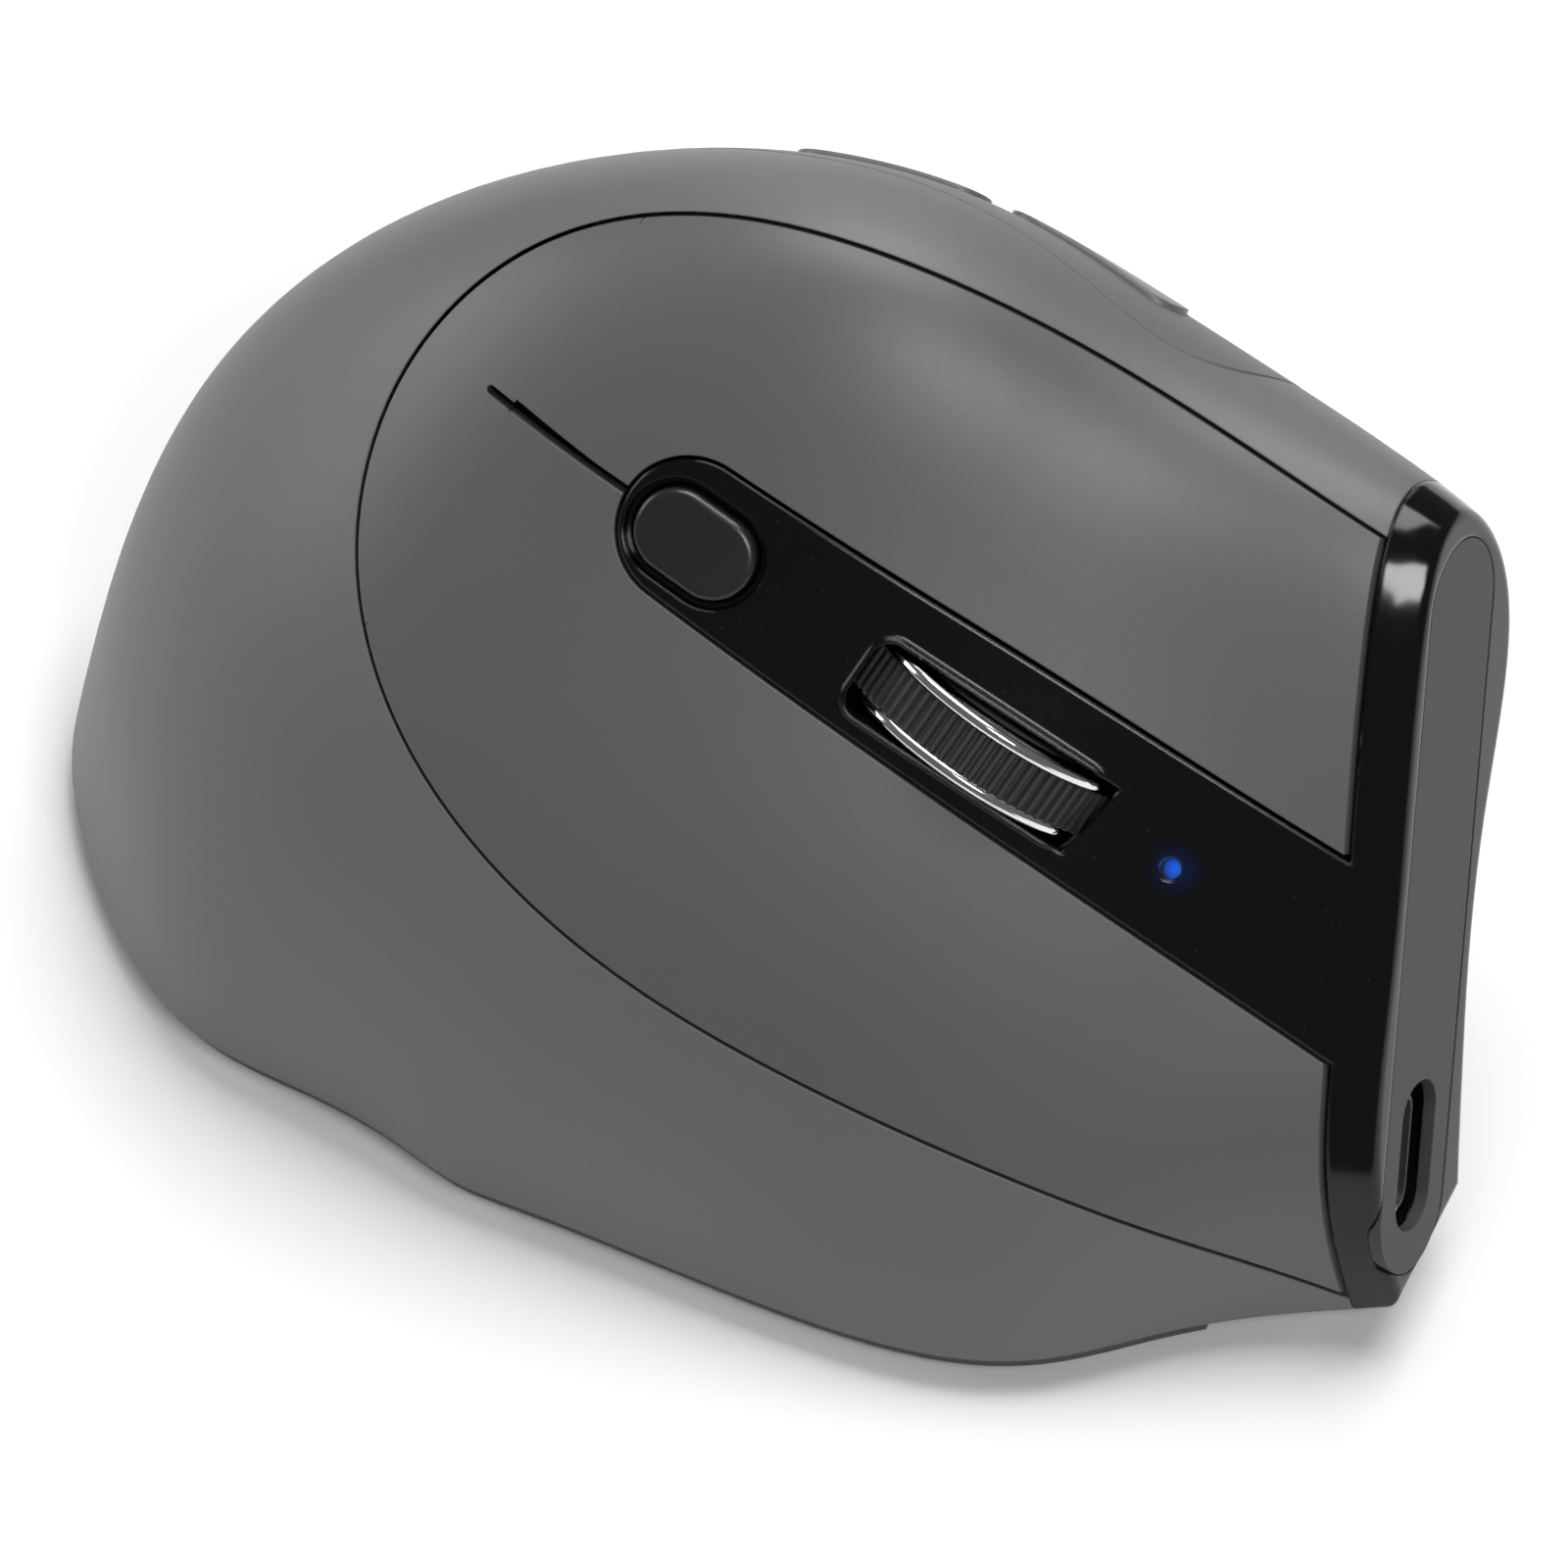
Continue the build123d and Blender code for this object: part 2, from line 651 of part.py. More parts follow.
# ---------------------------------------------------------------- thumb side
def make_side_button(spot):
    shape = prism(thumb, Pos(*spot) * pill(side_button_length, side_button_width),
                  side_button_low, thumb_cut_high)
    button = one_solid(shape & skin(-side_button_stand))
    stem_low = thumb_board_level + tact_height + plunger_height + press_clear
    stem = drum(thumb, spot[0], spot[1], stem_low, side_button_low + 0.4, tact_stem_radius)
    return one_solid(button + stem)


def make_thumb_board():
    board = block(thumb, 0, thumb_board_y, thumb_board_level - board_thickness,
                  thumb_board_level, thumb_board_length, thumb_board_width)
    for x, y in thumb_posts:
        board = board - drum(thumb, x, y, 0, 4, screw_radius + 0.2)
    return one_solid(board)


# ---------------------------------------------------------------- base
def make_base_plate():
    """Dark tray that closes the body, set in under the casing's lower edge."""
    outline = skin(base_inset) & (Plane.XY.offset(casing_floor_z) * Rectangle(reach * 2, reach * 2))
    plate = Solid.extrude(outline.face(), Vector(0, 0, base_bottom_z - casing_floor_z))
    plate = plate - block(Plane.XY, 0, base_front_y + reach / 2, -1, 9, reach * 2, reach)
    lower = plate.faces().sort_by(Axis.Z)[0]
    plate = one_solid(plate).chamfer(base_chamfer, None, lower.edges())
    for x, y in board_posts:
        plate = plate + drum(Plane.XY, x, y, casing_floor_z - 0.2, main_board_bottom_z,
                             post_radius)
        plate = plate - drum(Plane.XY, x, y, casing_floor_z - 1.4, 9, screw_radius)
    for x, y in boss_spots:
        plate = plate - drum(Plane.XY, x, y, -1, 9, screw_radius + 0.25)
        plate = plate - drum(Plane.XY, x, y, -1, base_bottom_z + screw_head_height,
                             screw_head_radius + 0.2)
    plate = plate - prism(Plane.XY, Pos(*sensor_spot) * pill(*sensor_window), -1, 9)
    slot = Pos(*power_spot) * RectangleRounded(knob_width + 2 * window_fit,
                                               knob_length + 2 * window_fit + power_travel, 0.6)
    plate = plate - prism(Plane.XY, slot, -1, 9)
    for sketch in skate_sketches(0.1):
        plate = plate - prism(Plane.XY, sketch, -1, base_bottom_z + 0.2)
    return one_solid(plate)


def skate_sketches(grow):
    """Front, rear and side glide pads."""
    return [Pos(13, 31) * Rot(0, 0, -12) * pill(20 + 2 * grow, 6 + 2 * grow),
            Pos(-1, -43) * pill(24 + 2 * grow, 7 + 2 * grow),
            Pos(-27, 2) * Rot(0, 0, 90) * pill(16 + 2 * grow, 5 + 2 * grow)]


def make_skates():
    pads = [prism(Plane.XY, sketch, 0, skate_thickness) for sketch in skate_sketches(0)]
    return Compound([pad.fillet(0.3, pad.edges().group_by(Axis.Z)[0]) for pad in pads])


def make_main_board():
    top = main_board_bottom_z + board_thickness
    board = prism(Plane.XY, make_face(Polyline(*main_board_outline, close=True)),
                  main_board_bottom_z, top)
    for x, y in board_posts:
        board = board - drum(Plane.XY, x, y, 0, 20, screw_radius + 0.2)
    return one_solid(board - block(Plane.XY, *sensor_spot, 0, 20, *sensor_opening))


def make_sensor():
    low = main_board_bottom_z + board_thickness
    length, width, height = sensor_case
    chip = block(Plane.XY, *sensor_spot, low, low + height, length, width)
    return chip.fillet(0.3, chip.edges().group_by(Axis.Z)[-1])


def make_sensor_lens():
    """Clear lens block between the sensor and the window in the base."""
    length = sensor_window[0] - 2 * window_fit
    width = sensor_window[1] - 2 * window_fit
    low = base_bottom_z + 1.5
    foot = prism(Plane.XY, Pos(*sensor_spot) * pill(length, width), low, casing_floor_z + 0.6)
    column = block(Plane.XY, *sensor_spot, casing_floor_z,
                   main_board_bottom_z + board_thickness - window_fit,
                   sensor_opening[0] - 2 * window_fit, sensor_opening[1] - 2 * window_fit)
    bowl = Solid.make_cone(2.6, 1.0, 2.2, Plane(origin=(*sensor_spot, low - 0.1)))
    return one_solid(foot + column - bowl)


def make_power_housing():
    case = block(Plane.XY, *power_spot, casing_floor_z + 0.7, main_board_bottom_z, *power_case)
    return one_solid(case - block(Plane.XY, *power_spot, 0, main_board_bottom_z - 0.4,
                                  power_stem + 2 * window_fit,
                                  power_stem + 2 * window_fit + power_travel))


def make_power_slider():
    """Slide switch knob at the rear end of its travel, with finger grooves."""
    x = power_spot[0]
    y = power_spot[1] - power_travel / 2
    low = base_bottom_z + knob_recess
    knob = block(Plane.XY, x, y, low, casing_floor_z + 0.4, knob_width, knob_length)
    for step in (-1, 0, 1):
        knob = knob - block(Plane.XY, x, y + step * groove_pitch, 0, low + 0.4,
                            2 * knob_width, groove_pitch / 2)
    stem = block(Plane.XY, x, y, casing_floor_z, main_board_bottom_z - 0.8,
                 power_stem, power_stem)
    return one_solid(knob + stem)


def make_battery():
    length, width, height = battery_size
    low = casing_floor_z + pad_thickness
    cell = block(Plane.XY, 0, battery_y, low, low + height, length, width)
    return cell.fillet(1.5, cell.edges().filter_by(Axis.Y))


def make_battery_pad():
    length, width, _ = battery_size
    return block(Plane.XY, 0, battery_y, casing_floor_z, casing_floor_z + pad_thickness,
                 length - 6, width - 4)


def make_battery_plug():
    low = main_board_bottom_z + board_thickness
    length, width, height = plug_size
    return block(Plane.XY, *plug_spot, low, low + height, length, width)


def make_battery_lead():
    """Two wires from the cell's front face to the plug on the board."""
    start_y = battery_y + battery_size[1] / 2
    start_z = casing_floor_z + pad_thickness + battery_size[2] / 2
    end_y = plug_spot[1] - plug_size[1] / 2
    end_z = main_board_bottom_z + board_thickness + plug_size[2] / 2
    wires = []
    for side in (-1, 1):
        x = plug_spot[0] + side * wire_pitch / 2
        path = FilletPolyline((x, start_y, start_z), (x, start_y + 2, start_z),
                              (x, end_y - 2, end_z), (x, end_y, end_z), radius=2 * wire_radius)
        ends = Plane(origin=path @ 0, z_dir=path % 0)
        wires.append(sweep(ends * Circle(wire_radius), path=path).solid())
    return Compound(wires)


def make_receptacle():
    """Metal shell of the charging socket, its mouth just behind the nose plate."""
    length, width = socket_size
    outer = Pos(port_along, 0) * RectangleRounded(length, width, width * 0.45)
    inner = Pos(port_along, 0) * RectangleRounded(length - 2 * socket_wall,
                                                  width - 2 * socket_wall, width * 0.36)
    shell = prism(nose, outer, socket_rear, socket_mouth)
    return one_solid(shell - prism(nose, inner, socket_rear + socket_back_wall, 1))


def make_tongue():
    return block(nose, port_along, 0, socket_rear + socket_back_wall, socket_mouth - 1,
                 *tongue_size)


def make_usb_board():
    top = -socket_size[1] / 2 - socket_wall
    return block(nose, port_along + 1, top - usb_board_size[2] / 2, usb_board_rear,
                 usb_board_rear + usb_board_size[1], usb_board_size[0], usb_board_size[2])


def screws(plane, spots, seat, direction, shank_length):
    return Compound([make_screw(plane, x, y, seat, direction, shank_length) for x, y in spots])


def save(shape, name):
    """Writes one piece, moved so that the origin lies under the middle of the body."""
    export_step(Pos(-body_middle[0], -body_middle[1], 0) * shape, "parts/" + name + ".step")


board_top_z = main_board_bottom_z + board_thickness
pieces = {
    "main_shell": make_main_shell(),
    "centre_trim": make_centre_trim(),
    "nose_plate": make_nose_plate(),
    "palm_panel": make_palm_panel(),
    "left_key": make_key(1, left_switch),
    "right_key": make_key(-1, right_switch),
    "thumb_panel": make_thumb_panel(),
    "forward_button": make_side_button(forward_button_at),
    "back_button": make_side_button(back_button_at),
    "dpi_button": make_dpi_button(),
    "led_lens": make_led_lens(),
    "led_chip": make_led_chip(),
    "wheel_tyre": make_tyre(),
    "wheel_rims": make_rims(),
    "wheel_hub": make_hub(),
    "wheel_cradle": make_cradle(),
    "wheel_encoder": make_encoder(),
    "wheel_switch": make_tact(strip, *wheel_switch, face_board_n),
    "wheel_plunger": make_tact_plunger(strip, *wheel_switch, face_board_n),
    "dpi_switch": make_tact(strip, dpi_s, dpi_t, face_board_n),
    "dpi_plunger": make_tact_plunger(strip, dpi_s, dpi_t, face_board_n),
    "left_microswitch": make_microswitch(left_switch),
    "left_plunger": make_microswitch_plunger(left_switch),
    "right_microswitch": make_microswitch(right_switch),
    "right_plunger": make_microswitch_plunger(right_switch),
    "face_board": make_face_board(),
    "face_board_screws": screws(strip, board_posts_st, face_board_n, 1, 4.0),
    "mid_frame": make_mid_frame(),
    "forward_switch": make_tact(thumb, *forward_button_at, thumb_board_level),
    "forward_plunger": make_tact_plunger(thumb, *forward_button_at, thumb_board_level),
    "back_switch": make_tact(thumb, *back_button_at, thumb_board_level),
    "back_plunger": make_tact_plunger(thumb, *back_button_at, thumb_board_level),
    "thumb_board": make_thumb_board(),
    "thumb_board_screws": screws(thumb, thumb_posts, thumb_board_level - board_thickness, -1, 4.5),
    "base_plate": make_base_plate(),
    "base_screws": screws(Plane.XY, boss_spots, base_bottom_z + screw_head_height, -1, 9.0),
    "skates": make_skates(),
    "main_board": make_main_board(),
    "main_board_screws": screws(Plane.XY, board_posts, board_top_z, 1, 4.2),
    "optical_sensor": make_sensor(),
    "sensor_lens": make_sensor_lens(),
    "power_housing": make_power_housing(),
    "power_slider": make_power_slider(),
    "battery": make_battery(),
    "battery_pad": make_battery_pad(),
    "battery_plug": make_battery_plug(),
    "battery_lead": make_battery_lead(),
    "usb_receptacle": make_receptacle(),
    "usb_tongue": make_tongue(),
    "usb_board": make_usb_board(),
}
os.makedirs("parts", exist_ok=True)
for name, piece in pieces.items():
    save(piece, name)
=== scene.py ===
import bpy
import bmesh
import json
import math
import numpy as np
from mathutils import Matrix, Vector
from mathutils.bvhtree import BVHTree


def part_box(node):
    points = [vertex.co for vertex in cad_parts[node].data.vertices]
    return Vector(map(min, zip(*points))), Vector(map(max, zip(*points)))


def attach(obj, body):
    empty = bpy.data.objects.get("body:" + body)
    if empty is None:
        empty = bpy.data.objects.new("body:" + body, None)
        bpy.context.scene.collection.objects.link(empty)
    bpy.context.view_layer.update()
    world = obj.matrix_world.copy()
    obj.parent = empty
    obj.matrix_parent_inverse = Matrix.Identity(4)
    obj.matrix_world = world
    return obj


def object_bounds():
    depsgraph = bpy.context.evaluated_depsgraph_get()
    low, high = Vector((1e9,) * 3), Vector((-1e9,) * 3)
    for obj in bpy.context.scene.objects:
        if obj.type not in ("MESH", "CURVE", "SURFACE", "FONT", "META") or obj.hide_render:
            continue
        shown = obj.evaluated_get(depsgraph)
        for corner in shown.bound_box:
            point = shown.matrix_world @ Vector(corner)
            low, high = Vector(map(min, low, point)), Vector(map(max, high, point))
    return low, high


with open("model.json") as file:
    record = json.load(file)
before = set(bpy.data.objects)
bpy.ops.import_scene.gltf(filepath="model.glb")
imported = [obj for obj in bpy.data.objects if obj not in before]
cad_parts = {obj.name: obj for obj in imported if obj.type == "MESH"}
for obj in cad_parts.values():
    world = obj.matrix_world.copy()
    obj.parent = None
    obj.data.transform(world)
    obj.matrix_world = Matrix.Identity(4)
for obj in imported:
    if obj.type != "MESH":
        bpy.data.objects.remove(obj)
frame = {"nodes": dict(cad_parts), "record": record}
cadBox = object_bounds()
nodes = frame["nodes"]
record = frame["record"]
joints = {j["name"]: j for j in record["behaviour"]["joints"]}
mounts = {m["name"]: m for m in record["mounts"]}
print("frame loaded:", len(nodes), "nodes")


# directions of the faces, read from the joints and mounts
faceNormal = -Vector(joints["wheel_press"]["axis"]).normalized()
acrossStrip = Vector(joints["wheel_spin"]["axis"]).normalized()
alongStrip = acrossStrip.cross(faceNormal)
noseNormal = Vector(mounts["charging_socket"]["axis"]).normalized()


def middleOf(node):
    low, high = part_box(node)
    return (Vector(low) + Vector(high)) / 2


def longWay(node, normal):
    # the direction square to normal in which the node is longest
    points = np.array([v.co[:] for v in nodes[node].data.vertices])
    points = points - points.mean(axis=0)
    points = points - np.outer(points @ np.array(normal), np.array(normal))
    return Vector(np.linalg.svd(points, full_matrices=False)[2][0]).normalized()


# shared effects as node groups
def newGroup(name, numbers, results):
    tree = bpy.data.node_groups.new(name, "ShaderNodeTree")
    for label, value in numbers.items():
        socket = tree.interface.new_socket(label, in_out="INPUT", socket_type="NodeSocketFloat")
        socket.default_value = value
    for label in results:
        tree.interface.new_socket(label, in_out="OUTPUT", socket_type="NodeSocketFloat")
    return tree, tree.nodes.new("NodeGroupInput"), tree.nodes.new("NodeGroupOutput")


def addNode(tree, kind, values):
    node = tree.nodes.new(kind)
    for label, value in values.items():
        node.inputs[label].default_value = value
    return node


def mathNode(tree, operation, first, second=None, third=None):
    node = tree.nodes.new("ShaderNodeMath")
    node.operation = operation
    for i, value in enumerate((first, second, third)):
        if value is None:
            continue
        if isinstance(value, (int, float)):
            node.inputs[i].default_value = value
        else:
            tree.links.new(value, node.inputs[i])
    return node.outputs[0]


def mapped(tree, value, fromLow, fromHigh, toLow, toHigh, smooth=False):
    node = tree.nodes.new("ShaderNodeMapRange")
    node.interpolation_type = "SMOOTHSTEP" if smooth else "LINEAR"
    tree.links.new(value, node.inputs[0])
    for i, number in enumerate((fromLow, fromHigh, toLow, toHigh)):
        node.inputs[i + 1].default_value = number
    return node.outputs[0]


def buildMouldedGrain():
    # fine spark-eroded texture of a moulded skin: Height for the bump, Tone for slow colour drift
    tree, given, result = newGroup("mouldedGrain", {"Grain Scale": 5000.0, "Drift Scale": 26.0},
                                   ["Height", "Tone"])
    place = tree.nodes.new("ShaderNodeTexCoord")
    grain = addNode(tree, "ShaderNodeTexNoise", {"Detail": 3.0, "Roughness": 0.62})
    pits = tree.nodes.new("ShaderNodeTexVoronoi")
    pits.feature = "SMOOTH_F1"
    drift = addNode(tree, "ShaderNodeTexNoise", {"Detail": 2.0, "Roughness": 0.5})
    for node in (grain, pits, drift):
        tree.links.new(place.outputs["Object"], node.inputs["Vector"])
    tree.links.new(given.outputs["Grain Scale"], grain.inputs["Scale"])
    tree.links.new(mathNode(tree, "MULTIPLY", given.outputs["Grain Scale"], 0.55), pits.inputs["Scale"])
    tree.links.new(given.outputs["Drift Scale"], drift.inputs["Scale"])
    both = mathNode(tree, "MULTIPLY_ADD", pits.outputs["Distance"], 0.45, grain.outputs["Fac"])
    tree.links.new(both, result.inputs["Height"])
    tree.links.new(mapped(tree, drift.outputs["Fac"], 0.3, 0.7, 0.0, 1.0), result.inputs["Tone"])
    return tree


def buildHandling():
    # where skin has touched the surface: broad smears broken up by finer ones
    tree, given, result = newGroup("handling", {"Smear Scale": 45.0, "Amount": 0.5}, ["Smear", "Speck"])
    place = tree.nodes.new("ShaderNodeTexCoord")
    broad = addNode(tree, "ShaderNodeTexNoise", {"Detail": 3.0, "Roughness": 0.55, "Distortion": 0.6})
    fine = addNode(tree, "ShaderNodeTexNoise", {"Detail": 5.0, "Roughness": 0.7, "Scale": 900.0})
    speck = addNode(tree, "ShaderNodeTexNoise", {"Detail": 1.0, "Scale": 2600.0})
    for node in (broad, fine, speck):
        tree.links.new(place.outputs["Object"], node.inputs["Vector"])
    tree.links.new(given.outputs["Smear Scale"], broad.inputs["Scale"])
    wide = mapped(tree, broad.outputs["Fac"], 0.42, 0.68, 0.0, 1.0, True)
    thin = mapped(tree, fine.outputs["Fac"], 0.35, 0.7, 0.4, 1.0)
    smear = mathNode(tree, "MULTIPLY", mathNode(tree, "MULTIPLY", wide, thin), given.outputs["Amount"])
    tree.links.new(smear, result.inputs["Smear"])
    tree.links.new(mapped(tree, speck.outputs["Fac"], 0.74, 0.8, 0.0, 1.0), result.inputs["Speck"])
    return tree


mouldedGrain = buildMouldedGrain()
handling = buildHandling()


def groupIn(tree, group, values):
    node = tree.nodes.new("ShaderNodeGroup")
    node.node_tree = group
    for label, value in values.items():
        node.inputs[label].default_value = value
    return node


def startMaterial(name, look):
    material = bpy.data.materials.new(name)
    material.use_nodes = True
    tree = material.node_tree
    shader = tree.nodes["Principled BSDF"]
    shader.inputs["Metallic"].default_value = look.get("metal", 0.0)
    shader.inputs["IOR"].default_value = look.get("ior", 1.5)
    shader.inputs["Coat Roughness"].default_value = look.get("coatRough", 0.05)
    shader.inputs["Coat Weight"].default_value = look.get("coat", 0.0)
    shader.inputs["Specular IOR Level"].default_value = look.get("specular", 0.5)
    return material, tree, shader


def colourMix(tree, factor, first, second):
    node = tree.nodes.new("ShaderNodeMix")
    node.data_type = "RGBA"
    node.clamp_factor = True
    if isinstance(factor, (int, float)):
        node.inputs["Factor"].default_value = factor
    else:
        tree.links.new(factor, node.inputs["Factor"])
    for label, value in (("A", first), ("B", second)):
        socket = [s for s in node.inputs if s.name == label and s.type == "RGBA"][0]
        if isinstance(value, (tuple, list)):
            socket.default_value = (*value[:3], 1.0)
        else:
            tree.links.new(value, socket)
    return [s for s in node.outputs if s.type == "RGBA"][0]


dustLift = 0.10


def mouldedPlastic(name, look):
    # satin or gloss plastic with its moulded grain, slow colour drift, smears and softened edges
    material, tree, shader = startMaterial(name, look)
    grain = groupIn(tree, mouldedGrain, {"Grain Scale": look.get("grainScale", 5000.0)})
    touch = groupIn(tree, handling, {"Amount": look.get("smear", 0.4)})
    base = look["colour"]
    drift = look.get("drift", 0.08)
    light = tuple(min(1.0, c * (1 + drift)) for c in base)
    dark = tuple(c * (1 - drift) for c in base)
    drifted = colourMix(tree, grain.outputs["Tone"], dark, light)
    dust = tuple(min(1.0, c + dustLift) for c in base)
    speckle = mathNode(tree, "MULTIPLY", touch.outputs["Speck"], look.get("speck", 0.0))
    colour = colourMix(tree, speckle, drifted, dust)
    tree.links.new(colour, shader.inputs["Base Color"])
    roughness = mathNode(tree, "MULTIPLY_ADD", touch.outputs["Smear"], look.get("smearRough", -0.06),
                         look["rough"])
    roughness = mathNode(tree, "MULTIPLY_ADD", grain.outputs["Height"], 0.04, roughness)
    tree.links.new(roughness, shader.inputs["Roughness"])
    bump = tree.nodes.new("ShaderNodeBump")
    bump.inputs["Strength"].default_value = look.get("grain", 0.15)
    bump.inputs["Distance"].default_value = look.get("grainDepth", 0.00003)
    tree.links.new(grain.outputs["Height"], bump.inputs["Height"])
    if look.get("edge", 0) > 0:
        softEdge = tree.nodes.new("ShaderNodeBevel")
        softEdge.samples = 6
        softEdge.inputs["Radius"].default_value = look["edge"]
        tree.links.new(softEdge.outputs["Normal"], bump.inputs["Normal"])
    tree.links.new(bump.outputs["Normal"], shader.inputs["Normal"])
    return material, tree, shader


def metalFinish(name, look):
    # plated or bare metal: fine polishing marks and a little uneven tarnish
    material, tree, shader = startMaterial(name, {**look, "metal": 1.0})
    touch = groupIn(tree, handling, {"Smear Scale": 160.0, "Amount": 1.0})
    place = tree.nodes.new("ShaderNodeTexCoord")
    marks = addNode(tree, "ShaderNodeTexNoise", {"Scale": look["markScale"], "Detail": 2.0})
    tree.links.new(place.outputs["Object"], marks.inputs["Vector"])
    base = look["colour"]
    worn = tuple(c * look.get("tarnish", 0.86) for c in base)
    tree.links.new(colourMix(tree, touch.outputs["Smear"], base, worn), shader.inputs["Base Color"])
    roughness = mathNode(tree, "MULTIPLY_ADD", marks.outputs["Fac"], 0.05, look["rough"])
    roughness = mathNode(tree, "MULTIPLY_ADD", touch.outputs["Smear"], 0.05, roughness)
    tree.links.new(roughness, shader.inputs["Roughness"])
    bump = tree.nodes.new("ShaderNodeBump")
    bump.inputs["Strength"].default_value = look.get("marks", 0.04)
    bump.inputs["Distance"].default_value = 0.00002
    tree.links.new(marks.outputs["Fac"], bump.inputs["Height"])
    tree.links.new(bump.outputs["Normal"], shader.inputs["Normal"])
    return material


# finishes
casingLook = {"colour": (0.105, 0.105, 0.106), "rough": 0.46, "grainScale": 5200.0, "grain": 0.22,
              "drift": 0.05, "smear": 0.5, "smearRough": -0.05, "speck": 0.10, "edge": 0.00022}
panelLook = {"colour": (0.085, 0.085, 0.086), "rough": 0.40, "grainScale": 5200.0, "grain": 0.2,
             "drift": 0.05, "smear": 0.6, "smearRough": -0.06, "speck": 0.08, "edge": 0.00018}
thumbLook = {"colour": (0.10, 0.10, 0.101), "rough": 0.5, "grainScale": 3600.0, "grain": 0.3,
             "grainDepth": 0.00004, "drift": 0.06, "smear": 0.5, "smearRough": -0.1, "edge": 0.0002}
trimLook = {"colour": (0.0025, 0.0025, 0.0027), "rough": 0.07, "specular": 0.35, "grainScale": 900.0,
            "grain": 0.02, "drift": 0.1, "smear": 0.6, "smearRough": 0.06, "speck": 0.1,
            "edge": 0.00045}
plateLook = {"colour": (0.055, 0.055, 0.056), "rough": 0.42, "specular": 0.15, "grainScale": 6000.0,
             "grain": 0.2, "drift": 0.04, "smear": 0.3, "edge": 0.00015}
dpiLook = {"colour": (0.012, 0.012, 0.0125), "rough": 0.24, "grainScale": 5200.0, "grain": 0.05,
           "smear": 0.6, "smearRough": 0.08, "edge": 0.0003}
sideButtonLook = {"colour": (0.10, 0.10, 0.101), "rough": 0.34, "grainScale": 5200.0,
                  "grain": 0.08, "smear": 0.5, "smearRough": 0.07, "edge": 0.0004}
tyreLook = {"colour": (0.022, 0.022, 0.023), "rough": 0.55, "grainScale": 3800.0, "grain": 0.3,
            "smear": 0.7, "smearRough": -0.15, "speck": 0.3, "edge": 0.00008}
innerLook = {"colour": (0.022, 0.022, 0.024), "rough": 0.5, "grainScale": 3000.0, "grain": 0.3}
switchLook = {"colour": (0.03, 0.03, 0.032), "rough": 0.42, "grainScale": 4200.0, "grain": 0.25}
plungerLook = {"colour": (0.72, 0.71, 0.67), "rough": 0.36, "grainScale": 4200.0, "grain": 0.12}
baseLook = {"colour": (0.035, 0.035, 0.038), "rough": 0.5, "grainScale": 2600.0, "grain": 0.5,
            "grainDepth": 0.00005, "edge": 0.00025}
skateLook = {"colour": (0.09, 0.09, 0.095), "rough": 0.3, "grainScale": 1500.0, "grain": 0.12,
             "smear": 0.9, "smearRough": 0.15, "edge": 0.00025}
foamLook = {"colour": (0.03, 0.03, 0.03), "rough": 0.9, "grainScale": 1500.0, "grain": 0.9,
            "grainDepth": 0.0001}
wireLook = {"colour": (0.42, 0.025, 0.02), "rough": 0.38, "grainScale": 2500.0, "grain": 0.1}
boardLook = {"colour": (0.012, 0.10, 0.04), "rough": 0.3, "grainScale": 1100.0, "grain": 0.15,
             "drift": 0.2}
batteryLook = {"colour": (0.30, 0.31, 0.33), "rough": 0.33, "grainScale": 700.0, "grain": 0.5,
               "grainDepth": 0.0001, "metal": 0.8}
chromeLook = {"colour": (0.78, 0.78, 0.80), "rough": 0.07, "markScale": 1800.0, "marks": 0.02}
steelLook = {"colour": (0.48, 0.47, 0.45), "rough": 0.28, "markScale": 2600.0, "marks": 0.08,
             "tarnish": 0.7}
goldLook = {"colour": (0.83, 0.60, 0.22), "rough": 0.22, "markScale": 3000.0}

casingSatin, _, _ = mouldedPlastic("casingSatin", casingLook)
panelSatin, _, _ = mouldedPlastic("panelSatin", panelLook)
thumbSoft, _, _ = mouldedPlastic("thumbSoft", thumbLook)
trimGloss, trimTree, trimShader = mouldedPlastic("trimGloss", trimLook)
plateSatin, _, _ = mouldedPlastic("plateSatin", plateLook)
dpiPlastic, _, _ = mouldedPlastic("dpiPlastic", dpiLook)
sideButtonPlastic, _, _ = mouldedPlastic("sideButtonPlastic", sideButtonLook)
tyreRubber, _, _ = mouldedPlastic("tyreRubber", tyreLook)
innerPlastic, _, _ = mouldedPlastic("innerPlastic", innerLook)
switchPlastic, _, _ = mouldedPlastic("switchPlastic", switchLook)
plungerPlastic, _, _ = mouldedPlastic("plungerPlastic", plungerLook)
basePlastic, _, _ = mouldedPlastic("basePlastic", baseLook)
skatePlastic, _, _ = mouldedPlastic("skatePlastic", skateLook)
padFoam, _, _ = mouldedPlastic("padFoam", foamLook)
wireSleeve, _, _ = mouldedPlastic("wireSleeve", wireLook)
boardGreen, _, _ = mouldedPlastic("boardGreen", boardLook)
batteryFoil, _, _ = mouldedPlastic("batteryFoil", batteryLook)
rimChrome = metalFinish("rimChrome", chromeLook)
steelZinc = metalFinish("steelZinc", steelLook)
contactGold = metalFinish("contactGold", goldLook)


def distanceFrom(tree, point):
    place = tree.nodes.new("ShaderNodeTexCoord")
    away = tree.nodes.new("ShaderNodeVectorMath")
    away.operation = "DISTANCE"
    tree.links.new(place.outputs["Object"], away.inputs[0])
    away.inputs[1].default_value = point
    return place, away.outputs["Value"]


